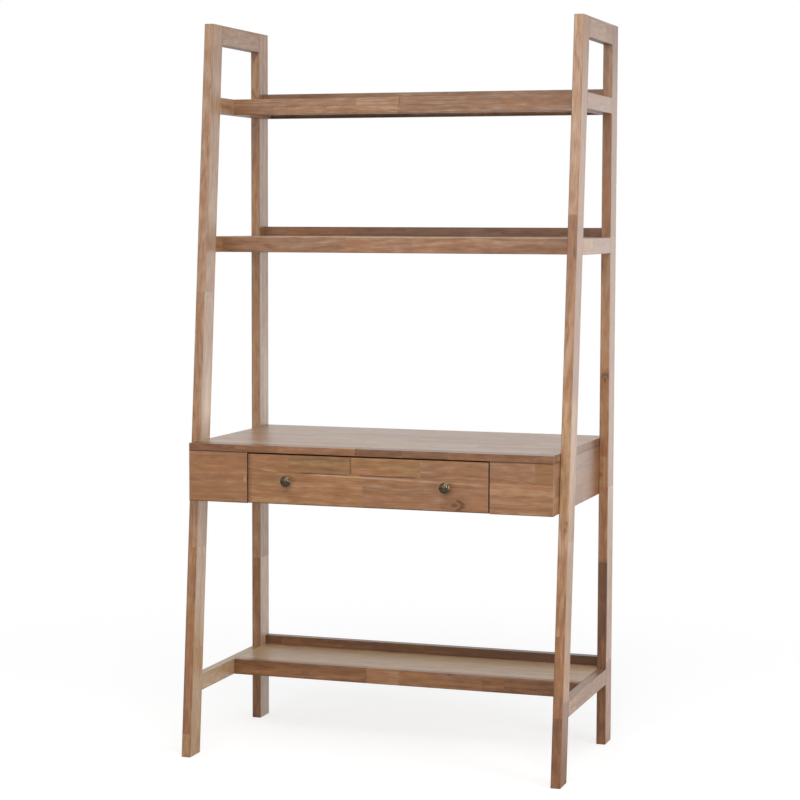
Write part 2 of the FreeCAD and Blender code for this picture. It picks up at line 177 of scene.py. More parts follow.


# Thin lines and soft patches of tone: marks in the wood, and painted shade and painted light where
# noted
STREAKS = {
    "desktop": (upright(0.447, 0.04, 0.56, 0.0012, -0.30),),
    "left_flank": (
        # painted shadow line under the desktop
        level(0.1202, -0.46, -0.29, 0.0022, -0.34),
        # painted shade in the gap beside the drawer
        upright(-0.297, -0.01, 0.13, 0.0014, -0.45),
        level(0.0002, -0.46, -0.29, 0.003, -0.30),
        upright(-0.3035, 0.049, 0.067, 0.005, 0.16, 0.3),
    ),
    "right_flank": (
        # painted shadow line under the desktop
        level(0.1202, 0.29, 0.46, 0.0022, -0.34),
        level(0.0002, 0.29, 0.46, 0.003, -0.30),
        upright(0.447, -0.05, 0.20, 0.0012, 0.08),
    ),
    "case_right_side": (
        # painted shadow line under the desktop
        level(0.1196, -0.26, 0.26, 0.0022, -0.26),
        # painted light: a paler front part of the side, where the sheen falls
        level(0.06, -0.32, -0.185, 0.09, 0.14, 0.2),
    ),
    "left_front_leg": (
        # painted light on the inner face, where the desk case and the shelves shade it
        level(0.035, 0.66, 0.98, 0.04, 0.26, 0.4),
        level(0.035, 1.12, 1.42, 0.04, 0.14, 0.4),
        level(0.035, 1.48, 1.70, 0.04, 0.12, 0.4),
        level(-0.001, 0.29, 0.42, 0.001, -0.24),
    ),
    "right_front_leg": (level(0.0, 0.52, 0.90, 0.06, 0.09),),
    "left_rear_leg": (
        # painted shade that deepens towards the middle shelf above, on the inner face
        level(0.047, 0.70, 1.02, 0.04, 0.14, 0.4),
        level(0.047, 1.00, 1.28, 0.04, -0.10, 0.4),
    ),
    "right_rear_leg": (level(0.0, 0.25, 0.47, 0.01, -0.10),),
    "top_shelf_back_rail": (
        # painted shade on the lower part, beneath the top shelf
        level(-0.001, -0.60, 0.60, 0.0095, -0.38),
        # painted light and painted shade across the lip
        level(0.055, -0.37, -0.24, 0.03, -0.10, 0.4),
        level(0.055, -0.14, 0.05, 0.03, 0.13, 0.4),
        level(0.055, 0.13, 0.27, 0.03, 0.09, 0.4),
    ),
    "lower_shelf_apron": (level(0.02, -0.06, 0.11, 0.05, 0.05, 0.4),),
    "middle_shelf_apron": (
        level(0.02, -0.60, -0.28, 0.06, -0.07, 0.4),
        # painted highlight along the eased top edge
        level(0.0378, -0.60, 0.60, 0.0022, 0.16),
    ),
    "middle_shelf_back_rail": (
        # painted light on parts of the lip
        level(0.02, -0.60, -0.10, 0.09, 0.09, 0.4),
        level(0.055, -0.44, -0.33, 0.03, 0.10, 0.4),
    ),
    "lower_shelf_back_rail": (
        # painted light on the left of the lip and painted shade on the right
        level(0.02, -0.60, -0.10, 0.09, 0.10, 0.4),
        level(0.02, -0.15, 0.70, 0.09, -0.08, 0.4),
    ),
    "drawer_front": (
        slanted((-0.152, 0.0742), (0.2965, 0.064), 0.0035, 0.15),
        slanted((-0.30, 0.088), (-0.215, 0.074), 0.0022, 0.10),
        slanted((-0.165, 0.0754), (-0.042, 0.075), 0.002, -0.26),
        level(0.075, -0.022, 0.129, 0.002, -0.28),
        upright(-0.039, 0.076, 0.117, 0.003, -0.20),
        # painted shade in the right gap and beside the left gap
        upright(0.2955, -0.01, 0.13, 0.0014, -0.30),
        upright(-0.293, -0.01, 0.13, 0.008, -0.12),
        level(0.0002, -0.32, 0.32, 0.003, -0.30),
    ),
}

# Usual tone and hue of a board's random staves, and how strong the figure of its wood is
BOARD_LOOKS = {
    "drawer_front": (0.51, 0.55, 0.85),
    "left_flank": (0.51, 0.55, 0.75),
    "right_flank": (0.51, 0.55, 0.85),
    "desktop": (0.65, 0.70, 1.0),
    "top_shelf_back_rail": (0.49, 1.20, 0.8),
    "middle_shelf_back_rail": (0.33, 0.66, 0.8),
    "lower_shelf_back_rail": (0.26, 0.45, 0.8),
    "case_right_side": (0.39, 0.66, 0.4),
    "left_upper_rail": (0.66, 0.62, 1.0),
    "left_lower_rail": (0.69, 0.04, 1.0),
    "left_top_rail": (0.48, 0.74, 1.0),
    "right_top_rail": (0.47, 0.80, 0.8),
    "right_lower_rail": (0.54, 0.74, 1.0),
    "right_upper_rail": (0.46, 0.58, 0.8),
}
USUAL_LOOK = (0.51, 0.55, 1.0)

# Eased edges get painted shade, as if little light reached them, but not those that face this
# way, which the light falls on. On boards that aren't named here, that is the front right.
FRONT_RIGHT = (0.71, -0.71, 0.0)
FRONT_TOP = (0.0, -0.71, 0.71)
SPARED_EDGES = {
    "top_shelf_apron": FRONT_TOP,
    "middle_shelf_apron": FRONT_TOP,
    "lower_shelf_apron": FRONT_TOP,
    "desktop": FRONT_TOP,
    "drawer_front": NOWHERE,
    "left_flank": NOWHERE,
    "right_flank": NOWHERE,
}

# How far the darkness of a glue line reaches
GLUE_LINE = 0.0007
# Staves that differ less than this in tone meet without a dark line
CLOSE_MATCH = 0.055
# Steps between the seeds of staves and rows, and for each letter of a board's name
STAVE_STEP = 0.137
ROW_STEP = 0.31
LETTER_STEP = 0.017

# Noise waves per metre along, across and through the grain
DRIFT_WAVES = (1.8, 9.0, 9.0)
WAVER_WAVES = (9.0, 28.0, 28.0)
PATCH_WAVES = (7.0, 40.0, 40.0)
MOTTLE_WAVES = (26.0, 95.0, 95.0)
FIBRE_WAVES = (16.0, 520.0, 520.0)
PORE_WAVES = (60.0, 1500.0, 1500.0)
KNOT_WAVES = (90.0, 150.0, 150.0)
STREAK_WAVES = (45.0, 150.0, 1.0)
# Noise waves per metre across the growth rings
BAND_WAVES = 85.0
LINE_WAVES = 330.0
BLUSH_WAVES = 90.0

# --- Node helpers ---


def add_node(kind, inputs=(), tree=None, **settings):
    """A node with its settings, and each input linked to a socket or set to a value.

    Where no tree is given, it goes into the tree of the sockets that feed it.
    """
    inputs = dict(inputs)
    if tree is None:
        feeds = [value for value in inputs.values() if isinstance(value, bpy.types.NodeSocket)]
        tree = feeds[0].id_data
    node = tree.nodes.new(kind)
    for name, value in settings.items():
        setattr(node, name, value)
    for name, value in inputs.items():
        if isinstance(value, bpy.types.NodeSocket):
            tree.links.new(value, node.inputs[name])
        else:
            node.inputs[name].default_value = value
    return node


def maths(operation, *values, **settings):
    """Result of a Math node, or of a Vector Math node where the first value is a vector."""
    values = dict(enumerate(values))
    if getattr(values[0], "type", "VALUE") == "VALUE":
        return add_node("ShaderNodeMath", values, operation=operation, **settings).outputs[0]
    outputs = add_node("ShaderNodeVectorMath", values, operation=operation, **settings).outputs
    gives_number = operation in {"DOT_PRODUCT", "LENGTH"}
    return outputs["Value" if gives_number else "Vector"]


plus = partial(maths, "ADD")
minus = partial(maths, "SUBTRACT")
times = partial(maths, "MULTIPLY")
times_plus = partial(maths, "MULTIPLY_ADD")
ratio = partial(maths, "DIVIDE")
larger = partial(maths, "MAXIMUM")
smaller = partial(maths, "MINIMUM")
size_of = partial(maths, "ABSOLUTE")
length_of = partial(maths, "LENGTH")
dot = partial(maths, "DOT_PRODUCT")
cross = partial(maths, "CROSS_PRODUCT")


def smooth_step(value, start, end):
    """0 below start, 1 above end, and a smooth rise between them."""
    inputs = {"Value": value, "From Min": start, "From Max": end}
    return add_node("ShaderNodeMapRange", inputs, interpolation_type="SMOOTHSTEP").outputs["Result"]


def split(vector):
    """The three numbers of a vector."""
    return add_node("ShaderNodeSeparateXYZ", {"Vector": vector}).outputs


def join(*numbers):
    """A vector from three numbers."""
    return add_node("ShaderNodeCombineXYZ", enumerate(numbers)).outputs["Vector"]


def noise_node(kind, place, inputs=()):
    """Outputs of a noise node, in space for a vector and along a line for a number."""
    name, dimensions = ("Vector", "3D") if place.type == "VECTOR" else ("W", "1D")
    return add_node(kind, {name: place, **dict(inputs)}, noise_dimensions=dimensions).outputs


def noise(place, detail=2.0, roughness=0.5):
    """Soft noise, about 0.5 on average."""
    inputs = {"Scale": 1.0, "Detail": detail, "Roughness": roughness}
    return noise_node("ShaderNodeTexNoise", place, inputs)[0]


def white_noise(place):
    """A random value and a random colour for each place."""
    return noise_node("ShaderNodeTexWhiteNoise", place)


def mix_numbers(share, first, second):
    """first at share 0, second at share 1."""
    return add_node("ShaderNodeMix", {0: share, 2: first, 3: second}).outputs[0]


def mix_colours(share, first, second, blend="MIX"):
    """first at share 0, blended with second at share 1."""
    inputs = {0: share, 6: first, 7: second}
    return add_node("ShaderNodeMix", inputs, data_type="RGBA", blend_type=blend).outputs[2]


def colour_ramp(value, stops, interpolation="LINEAR"):
    """Outputs of a colour ramp with the given (position, colour) stops."""
    node = add_node("ShaderNodeValToRGB", {"Fac": value})
    ramp = node.color_ramp
    ramp.interpolation = interpolation
    while len(ramp.elements) < len(stops):
        ramp.elements.new(1.0)
    while len(ramp.elements) > len(stops):
        ramp.elements.remove(ramp.elements[-1])
    for element, (position, colour) in zip(ramp.elements, stops):
        element.position = position
        element.color = colour
    return node.outputs


def coordinates_near(socket):
    """Texture coordinates in the tree of a socket."""
    return socket.id_data.nodes.new("ShaderNodeTexCoord").outputs


def arrange(tree, column=220, line=180):
    """Set the nodes out in columns, from the sources on the left to the result on the right."""
    depths = {}

    def depth(node):
        if node.name not in depths:
            depths[node.name] = 0
            feeds = [link.from_node for socket in node.inputs for link in socket.links]
            depths[node.name] = 1 + max((depth(feed) for feed in feeds), default=-1)
        return depths[node.name]

    filled = {}
    for node in tree.nodes:
        place = depth(node)
        node.location = (place * column, -filled.get(place, 0) * line)
        filled[place] = filled.get(place, 0) + 1


def title(name):
    """A name as the node editor shows it."""
    return name.replace("_", " ").title()


def make_group(build):
    """Make the shader node group that a function describes.

    Its arguments are the group's inputs with their defaults. It gives the group's outputs by name.
    """
    tree = bpy.data.node_groups.new(title(build.__name__), "ShaderNodeTree")
    arguments = signature(build).parameters
    kinds = {3: "NodeSocketVector", 4: "NodeSocketColor"}
    for name, argument in arguments.items():
        value = argument.default
        kind = "NodeSocketFloat" if isinstance(value, float) else kinds[len(value)]
        socket = tree.interface.new_socket(title(name), in_out="INPUT", socket_type=kind)
        socket.default_value = value
    given = tree.nodes.new("NodeGroupInput").outputs
    values = build(*[given[title(name)] for name in arguments])
    kinds = {"VALUE": "NodeSocketFloat", "VECTOR": "NodeSocketVector", "RGBA": "NodeSocketColor"}
    for name, value in values.items():
        tree.interface.new_socket(title(name), in_out="OUTPUT", socket_type=kinds[value.type])
    result = tree.nodes.new("NodeGroupOutput").inputs
    for name, value in values.items():
        tree.links.new(value, result[title(name)])
    arrange(tree)
    return tree


def place_group(tree, build, values, **changes):
    """Place the group of a function, fed from the values by name, and give the values after it.

    The group is made when it is first placed.
    """
    values = {**values, **changes}
    group = bpy.data.node_groups.get(title(build.__name__)) or make_group(build)
    inputs = {title(name): values[name] for name in signature(build).parameters}
    outputs = add_node("ShaderNodeGroup", inputs, tree, node_tree=group).outputs
    return {**values, **{socket.name.lower().replace(" ", "_"): socket for socket in outputs}}


# --- Sizes and colours that a user would change ---

LENGTH = {"unit": "LENGTH", "min": 0.0, "precision": 4}
POWER = {"unit": "POWER", "min": 0.0}
ANGLE = {"unit": "ROTATION"}


def colour_property(name, description, *colour):
    """A colour that the panel shows."""
    settings = {"subtype": "COLOR", "size": 4, "min": 0, "max": 1}
    return FloatVectorProperty(name=name, description=description, default=(*colour, 1), **settings)


def number_property(name, description, default, **settings):
    """A number that the panel shows."""
    return FloatProperty(name=name, description=description, default=default, **settings)


class DeskWoodSettings(bpy.types.PropertyGroup):
    """Acacia of the desk, and the pale wood of the drawer box."""

    streak_colour: colour_property("Streaks", "Darkest lines of the heartwood", 0.050, 0.020, 0.008)
    dark_colour: colour_property("Dark wood", "Dark heartwood", 0.130, 0.052, 0.020)
    middle_colour: colour_property("Middle wood", "Common heartwood", 0.275, 0.1265, 0.0555)
    light_colour: colour_property("Light wood", "Pale heartwood", 0.430, 0.290, 0.190)
    sap_colour: colour_property("Sapwood", "Palest wood, near the bark", 0.620, 0.455, 0.320)
    stave_length: number_property("Stave length", "Usual length of one strip of wood", 0.200, **LENGTH)
    stave_width: number_property("Stave width", "Width of one strip of wood", 0.042, **LENGTH)
    figure: number_property("Figure", "How far the grain wanders from straight", 1.0, min=0.0, max=3.0)
    roughness: number_property("Roughness", "Roughness of the satin lacquer", 0.34, min=0.0, max=1.0)
    box_light_colour: colour_property("Drawer box", "Drawer box wood", 0.560, 0.400, 0.240)
    box_dark_colour: colour_property(
        "Drawer box grain", "Grain lines of the drawer box wood", 0.380, 0.240, 0.130
    )


class DeskMetalSettings(bpy.types.PropertyGroup):
    """Knobs, slides and screws."""

    brass_colour: colour_property("Brass", "Where the patina is worn off", 0.345, 0.252, 0.165)
    patina_colour: colour_property("Patina", "Darkened brass", 0.072, 0.056, 0.036)
    steel_colour: colour_property("Steel", "Zinc-plated steel", 0.520, 0.530, 0.540)
    rim_width: number_property("Knob rim", "Width of the ring round the knob's dome", 0.0018, **LENGTH)
    neck_radius: number_property("Knob neck", "Radius of the knob's neck", 0.0045, **LENGTH)
    base_radius: number_property("Knob base", "Radius of the knob's foot", 0.0075, **LENGTH)


class DeskStageSettings(bpy.types.PropertyGroup):
    """Floor, lamps and camera."""

    floor_radius: number_property("Floor radius", "Radius of the round floor", 30.0, **LENGTH)
    floor_colour: colour_property("Floor", "Pale floor", 0.72, 0.72, 0.72)
    camera_place: FloatVectorProperty(
        name="Camera place",
        description="Where the camera stands",
        default=(1.6769, -5.0749, 1.2909),
        subtype="TRANSLATION",
        unit="LENGTH",
    )
    camera_yaw: number_property("Camera yaw", "Turn to the left", math.radians(18.274), **ANGLE)
    camera_pitch: number_property("Camera pitch", "Tilt upwards", math.radians(-4.625), **ANGLE)
    camera_roll: number_property("Camera roll", "Turn about the view", math.radians(0.168), **ANGLE)
    camera_lens: number_property("Lens", "Focal length in millimetres", 99.67, min=10.0)
    key_power: number_property("Key lamp", "Power of the lamp above, in front", 65.0, **POWER)
    fill_power: number_property("Fill lamp", "Power of the lamp in front", 17.0, **POWER)
    spark_power: number_property("Spark lamp", "Power of the small lamp near the camera", 11.0, **POWER)
    side_power: number_property("Side lamp", "Power of the lamp at the right", 56.0, **POWER)
    rim_power: number_property("Rim lamp", "Power of the lamp behind", 20.0, **POWER)
    sky_strength: number_property("Sky", "Strength of the white surroundings", 0.50, min=0.0, max=2.0)


# --- Shader node groups ---
# Each function describes one group, in the way that make_group says.


def board_position(along=X, across=Z, origin=NOWHERE):
    """Place in a board, measured along its grain, across it and through it."""
    coordinates = coordinates_near(along)
    from_origin = minus(coordinates["Object"], origin)
    axes = (along, across, cross(along, across))
    position = join(*[dot(from_origin, axis) for axis in axes])
    facing = size_of(dot(coordinates["Normal"], along))
    return {"position": position, "end_grain": smooth_step(facing, 0.6, 0.9)}


def edge_shade(along=X, across=Z, spared=NOWHERE):
    """Painted shade on the eased edges of a board: 1 on them, but 0 on those that face the lit way."""
    normal = coordinates_near(along)["Normal"]
    squareness = 0.0
    for axis in (along, across, cross(along, across)):
        squareness = larger(size_of(dot(normal, axis)), squareness)
    eased = smooth_step(squareness, 0.995, 0.92)
    return {"edge": times(eased, smooth_step(dot(normal, spared), 0.9, 0.6))}


def random_staves(
    position=NOWHERE, stave_length=0.2, stave_width=0.042, seed=0.0, usual_tone=0.51, usual_hue=0.55
):
    """Rows of staves, each with its own tone, hue and seed, and thin glue lines."""
    row_shift = 7.0
    unevenness = 1.2
    tone_spread = 0.14
    hue_spread = 0.50
    along, across, _ = split(position)
    row_place = ratio(across, stave_width)
    row = maths("FLOOR", row_place)
    shift = times(white_noise(join(row, seed, 0.5))["Value"], row_shift)
    cell_place = plus(ratio(along, stave_length), shift)
    cell_place = times_plus(noise(cell_place, 0.0), unevenness, cell_place)
    random = white_noise(join(maths("FLOOR", cell_place), row, seed))
    tone, hue, _ = split(random["Color"])
    tone = times_plus(minus(tone, 0.5), tone_spread, usual_tone)
    hue = times_plus(minus(hue, 0.5), hue_spread, usual_hue)

    def distance_to_edge(place, size):
        """Distance to the nearer edge of the cell that place is in."""
        from_middle = size_of(minus(maths("FRACT", place), 0.5))
        return times(minus(0.5, from_middle), size)

    row_distance = distance_to_edge(row_place, stave_width)
    cell_distance = distance_to_edge(cell_place, stave_length)
    glue = smooth_step(smaller(row_distance, cell_distance), GLUE_LINE, 0.0)
    return {"tone": tone, "hue": hue, "stave": random["Value"], "glue": glue}


def laid_row(
    position=NOWHERE, low=0.0, high=1.0, laid_colour=(0.5, 0.5, 0.5, 1.0), laid_alpha=1.0,
    tone=0.5, hue=0.5, stave=0.5, glue=0.0,
):
    """Staves with one listed row laid over those that it is given."""
    across = split(position)[1]
    inside = times(maths("GREATER_THAN", across, low), maths("LESS_THAN", across, high))
    laid = add_node("ShaderNodeSeparateColor", {"Color": laid_colour}).outputs
    values = {}
    for name, under, over in zip(("tone", "hue", "stave"), (tone, hue, stave), laid):
        values[name] = mix_numbers(inside, under, over)
    to_edge = smaller(size_of(minus(across, low)), size_of(minus(across, high)))
    joints = mix_numbers(inside, glue, minus(1.0, laid_alpha))
    values["glue"] = larger(joints, smooth_step(to_edge, GLUE_LINE, 0.0))
    return values


def knot(position=NOWHERE, centre=NOWHERE, radius=0.006, knot_shade=0.0):
    """Grain bent round a knot, as water flows round a stone, and the shade of the knot."""
    slimness = 0.55
    ring_place = 1.10
    halo_strength = 0.30
    offset = minus(position, centre)
    along, across, through = split(offset)
    distance = length_of(join(times(along, slimness), across, through))
    share = ratio(radius, distance)
    flow = minus(1.0, times(share, share), use_clamp=True)
    bent = join(along, times(across, flow), times(through, flow))
    wobble = noise(times(offset, KNOT_WAVES), 1.0)
    size = ratio(times(distance, times_plus(wobble, 0.6, 0.7)), radius)
    heart = smooth_step(size, 1.05, 0.05)
    one_side = smooth_step(ratio(along, radius), -0.3, 0.9)
    ring = times(smooth_step(size_of(minus(size, ring_place)), 0.62, 0.0), one_side)
    halo = times(smooth_step(size, 2.6, 1.0), halo_strength)
    own_shade = larger(larger(heart, ring), halo)
    return {"position": plus(bent, centre), "knot_shade": larger(knot_shade, own_shade)}


def streak(position=NOWHERE, start=NOWHERE, end=X, width=0.002, change=0.1, fade=0.08, tone=0.5):
    """Tone changed along one line or patch that fades at its ends."""
    run = minus(end, start)
    direction = maths("NORMALIZE", run)
    offset = minus(times(position, (1.0, 1.0, 0.0)), start)
    waver = plus(noise(times(position, STREAK_WAVES), 2.0), 0.5)
    beside = times(length_of(cross(offset, direction)), waver)
    line = smooth_step(ratio(beside, width), 1.0, 0.2)
    share = ratio(dot(offset, direction), length_of(run))
    fades = times(smooth_step(share, 0.0, fade), smooth_step(minus(1.0, share), 0.0, fade))
    return {"tone": times_plus(times(line, fades), change, tone)}


def wood_grain(position=NOWHERE, stave=0.5, figure=1.0):
    """Growth bands, dark streaks, fibre and pores of one stave."""
    seed_spread = 913.0
    place_spread = (9.0, 7.0, 5.0)
    line_spread = 50.0
    widest_turn = 1.1
    drift_reach = 0.055
    waver_reach = 0.014
    random = white_noise(times(stave, seed_spread))["Color"]
    own_place = times_plus(random, place_spread, position)
    turn, first_seed, second_seed = split(random)
    angle = times_plus(turn, 2 * widest_turn, -widest_turn)
    _, across, through = split(position)
    flat = times(across, maths("COSINE", angle))
    deep = times(through, maths("SINE", angle))
    drift = noise(times(own_place, DRIFT_WAVES), 2.0)
    ring = times_plus(times(minus(drift, 0.5), figure), drift_reach, plus(flat, deep))
    waver = noise(times(own_place, WAVER_WAVES), 1.0)
    ring = times_plus(times(minus(waver, 0.5), figure), waver_reach, ring)
    band_seed = times(first_seed, line_spread)
    line_seed = times(second_seed, line_spread)
    lines = noise(times_plus(ring, LINE_WAVES, line_seed), 3.0, 0.6)
    patch = noise(times(own_place, PATCH_WAVES), 1.0)
    blush = noise(times_plus(ring, BLUSH_WAVES, line_seed))
    return {
        "bands": noise(times_plus(ring, BAND_WAVES, band_seed), 2.0, 0.55),
        "streaks": times(smooth_step(lines, 0.52, 0.74), smooth_step(patch, 0.40, 0.62)),
        "fibre": noise(times(own_place, FIBRE_WAVES), 2.0, 0.6),
        "pores": smooth_step(noise(times(own_place, PORE_WAVES), 0.0), 0.62, 0.74),
        "mottle": noise(times(own_place, MOTTLE_WAVES), 2.0),
        "blush": times(plus(blush, patch), 0.5),
    }


def acacia_finish(
    bands=0.5, streaks=0.0, fibre=0.5, pores=0.0, mottle=0.5, blush=0.5, contrast=1.0, tone=0.5,
    hue=0.5, glue=0.0, knot_shade=0.0, end_grain=0.0, edge=0.0, roughness=0.34,
):
    """Colour, roughness and relief of lacquered acacia from its grain and stave."""
    band_strength = 0.26
    figure_middle = 0.45
    knot_darkening = -0.31
    knot_browning = -0.45
    blush_reach = 1.8
    fibre_roughness = 0.12
    end_roughness = 0.06
    glue_roughness = 0.15
    pore_depth = -0.5
    glue_depth = -0.8
    wood = bpy.context.scene.ladder_desk_wood
    figure = times_plus(bands, band_strength, -figure_middle)
    for amount, strength in ((fibre, 0.28), (mottle, 0.36), (streaks, -0.16)):
        figure = times_plus(amount, strength, figure)
    tone = times_plus(figure, contrast, tone)
    tone = times_plus(knot_shade, knot_darkening, tone)
    stops = (
        (0.00, wood.streak_colour),
        (0.25, wood.dark_colour),
        (0.50, wood.middle_colour),
        (0.75, wood.light_colour),
        (1.00, wood.sap_colour),
    )
    colour = colour_ramp(tone, stops)["Color"]
    tints = (
        (0.00, (0.90, 1.00, 0.80, 1)),
        (0.30, (1.04, 0.97, 0.79, 1)),
        (0.65, (1.00, 1.00, 1.00, 1)),
        (1.00, (0.97, 1.10, 1.28, 1)),
    )
    hue = plus(hue, times_plus(blush, blush_reach, -blush_reach / 2))
    hue = times_plus(knot_shade, knot_browning, hue)
    colour = mix_colours(1.0, colour, colour_ramp(hue, tints)["Color"], "MULTIPLY")
    shades = (
        (pores, 0.45, (0.62, 0.56, 0.50, 1)),
        (glue, 0.60, (0.50, 0.42, 0.36, 1)),
        (end_grain, 0.26, (0.62, 0.56, 0.52, 1)),
        # painted shade on the eased edges
        (edge, 0.90, (0.34, 0.33, 0.35, 1)),
    )
    for amount, strength, shade in shades:
        colour = mix_colours(times(amount, strength), colour, shade, "MULTIPLY")
    rough = minus(times_plus(fibre, fibre_roughness, roughness), fibre_roughness / 2)
    rough = times_plus(end_grain, end_roughness, rough)
    rough = times_plus(glue, glue_roughness, rough)
    height = times_plus(pores, pore_depth, fibre)
    height = times_plus(glue, glue_depth, height)
    return {"colour": colour, "roughness": rough, "height": height}


def metal_wear(blotch_size=0.004, scratch_size=0.0004):
    """Soft blotches and fine scratches of handled metal."""
    place = coordinates_near(blotch_size)["Object"]
    blotch_scale = ratio(1.0, blotch_size)
    scratch_scale = ratio(1.0, scratch_size)
    slow_scale = times(scratch_scale, 0.04)
    blotch_place = times(place, join(blotch_scale, blotch_scale, blotch_scale))
    scratch_place = times(place, join(scratch_scale, slow_scale, scratch_scale))
    return {"blotches": noise(blotch_place, 3.0, 0.6), "scratches": noise(scratch_place, 1.0)}


# --- Materials ---

WOOD_RELIEF = 0.00012
BRASS_RELIEF = 0.0002
STEEL_RELIEF = 0.0001
METAL_BUMP = 0.15


def new_material(name):
    """A node material and its tree, which has a Principled shader."""
    material = bpy.data.materials.new(name)
    material.use_nodes = True
    return material, material.node_tree


def finish_material(material, colour, rough, height, strength, relief, metallic=0.0):
    """Feed a material's Principled shader, with the height through a Bump node."""
    tree = material.node_tree
    bump = add_node("ShaderNodeBump", {"Height": height, "Strength": strength, "Distance": relief})
    inputs = tree.nodes["Principled BSDF"].inputs
    tree.links.new(colour, inputs["Base Color"])
    tree.links.new(rough, inputs["Roughness"])
    tree.links.new(bump.outputs["Normal"], inputs["Normal"])
    inputs["Metallic"].default_value = metallic
    arrange(tree)
    return material


def stave_stops(staves, start, length, seed):
    """Constant ramp stops of a row: red is tone, green is hue, blue the stave's own seed."""
    stops = []
    for number, (place, tone, hue) in enumerate(staves):
        colour = (tone, hue, (seed + STAVE_STEP * number) % 1.0)
        position = max(0.0, (place - start) / length)
        if number and abs(tone - staves[number - 1][1]) > CLOSE_MATCH:
            stops.append((position, (*colour, 0.0)))
            position += GLUE_LINE / length
        stops.append((position, (*colour, 1.0)))
    return stops


def lay_rows(tree, node_name, values, start, end):
    """Lay a board's listed rows over its random staves."""
    length = end - start
    share = ratio(minus(split(values["position"])[0], start), length)
    for number, (low, high, *staves) in enumerate(LAID_ROWS[node_name]):
        seed = (ROW_STEP * number + LETTER_STEP * len(node_name)) % 1.0
        stops = stave_stops(staves, start, length, seed)
        laid = colour_ramp(share, stops, "CONSTANT")
        row = {"low": low, "high": high, "laid_colour": laid["Color"], "laid_alpha": laid["Alpha"]}
        values = place_group(tree, laid_row, values, **row)
    return values


def acacia_material(node_name, along, across, origin, seed):
    """Lacquered acacia for one board, with its own staves."""
    wood = bpy.context.scene.ladder_desk_wood
    material, tree = new_material("acacia_" + node_name)
    values = {"along": along, "across": across, "origin": origin, "seed": seed, "knot_shade": 0.0}
    for name in ("stave_length", "stave_width", "figure", "roughness"):
        values[name] = getattr(wood, name)
    look = BOARD_LOOKS.get(node_name, USUAL_LOOK)
    values["usual_tone"], values["usual_hue"], values["contrast"] = look
    values["spared"] = SPARED_EDGES.get(node_name, FRONT_RIGHT)
    for build in (board_position, edge_shade, random_staves):
        values = place_group(tree, build, values)
    if node_name in LAID_ROWS:
        reach = sorted((corner - origin).dot(along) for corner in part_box(node_name))
        values = lay_rows(tree, node_name, values, *reach)
    for marks in STREAKS.get(node_name, ()):
        values = place_group(tree, streak, values, **marks)
    for centre, radius in KNOTS.get(node_name, ()):
        values = place_group(tree, knot, values, centre=centre, radius=radius)
    for build in (wood_grain, acacia_finish):
        values = place_group(tree, build, values)
    surface = (values["colour"], values["roughness"], values["height"])
    return finish_material(material, *surface, strength=0.5, relief=WOOD_RELIEF)


def drawer_wood_material(node_name, along, across, origin, seed):
    """Pale, thinly varnished wood of the drawer box."""
    wood = bpy.context.scene.ladder_desk_wood
    material, tree = new_material("drawer_wood_" + node_name)
    values = {"along": along, "across": across, "origin": origin, "stave": seed}
    values = place_group(tree, board_position, values)
    values = place_group(tree, wood_grain, values, figure=wood.figure)
    fibre_tone = 0.5
    streak_tone = -0.2
    end_darkening = 0.7
    end_shade = (0.70, 0.62, 0.55, 1)
    fibre_roughness = 0.2
    base_roughness = 0.42
    fibre = values["fibre"]
    tone = plus(values["bands"], times_plus(fibre, fibre_tone, -fibre_tone / 2))
    tone = times_plus(values["streaks"], streak_tone, tone)
    stops = ((0.25, wood.box_dark_colour), (0.70, wood.box_light_colour))
    colour = colour_ramp(tone, stops)["Color"]
    share = times(values["end_grain"], end_darkening)
    colour = mix_colours(share, colour, end_shade, "MULTIPLY")
    rough = times_plus(fibre, fibre_roughness, base_roughness)
    return finish_material(material, colour, rough, fibre, strength=0.4, relief=WOOD_RELIEF)


def brass_material():
    """Antique brass: dark patina, worn brighter where the knob is touched."""
    metal = bpy.context.scene.ladder_desk_metal
    material, tree = new_material("antique_brass")
    rim_wear = 0.35
    blotch_wear = 0.9
    patina_cover = 0.40
    blotch_roughness = 0.22
    base_roughness = 0.10
    sizes = {"blotch_size": 0.0028, "scratch_size": 0.0005}
    blotches = place_group(tree, metal_wear, sizes)["blotches"]
    rim = add_node("ShaderNodeAttribute", tree=tree, attribute_name="wear").outputs["Fac"]
    worn = times_plus(blotches, blotch_wear, -patina_cover)
    share = times_plus(rim, rim_wear, worn, use_clamp=True)
    colour = mix_colours(share, metal.patina_colour, metal.brass_colour)
    rough = times_plus(blotches, blotch_roughness, base_roughness)
    return finish_material(material, colour, rough, blotches, METAL_BUMP, BRASS_RELIEF, metallic=1.0)


def steel_material(name, blotch_size, roughness):
    """Zinc-plated steel, with the mottled sheen of its plating."""
    metal = bpy.context.scene.ladder_desk_metal
    material, tree = new_material(name)
    wear = place_group(tree, metal_wear, {"blotch_size": blotch_size, "scratch_size": 0.0006})
    scratches = wear["scratches"]
    dullness = 0.72
    scratch_roughness = 0.20
    dull = [dullness * value for value in metal.steel_colour[:3]] + [1.0]
    share = smooth_step(wear["blotches"], 0.35, 0.65)
    colour = mix_colours(share, dull, metal.steel_colour)
    rough = times_plus(scratches, scratch_roughness, roughness - scratch_roughness / 2)
    return finish_material(material, colour, rough, scratches, METAL_BUMP, STEEL_RELIEF, metallic=1.0)


def dress(node_name, material):
    """Give a CAD node its material."""
    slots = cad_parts[node_name].data.materials
    slots.clear()
    slots.append(material)


def dress_board(node_name, along, across, seed, maker=acacia_material, origin=None):
    """Give a board its own wood, with its grain along it."""
    if origin is None:
        low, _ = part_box(node_name)
        origin = low - along * low.dot(along)
    dress(node_name, maker(node_name, along, across, origin, seed))


# --- Pieces ---


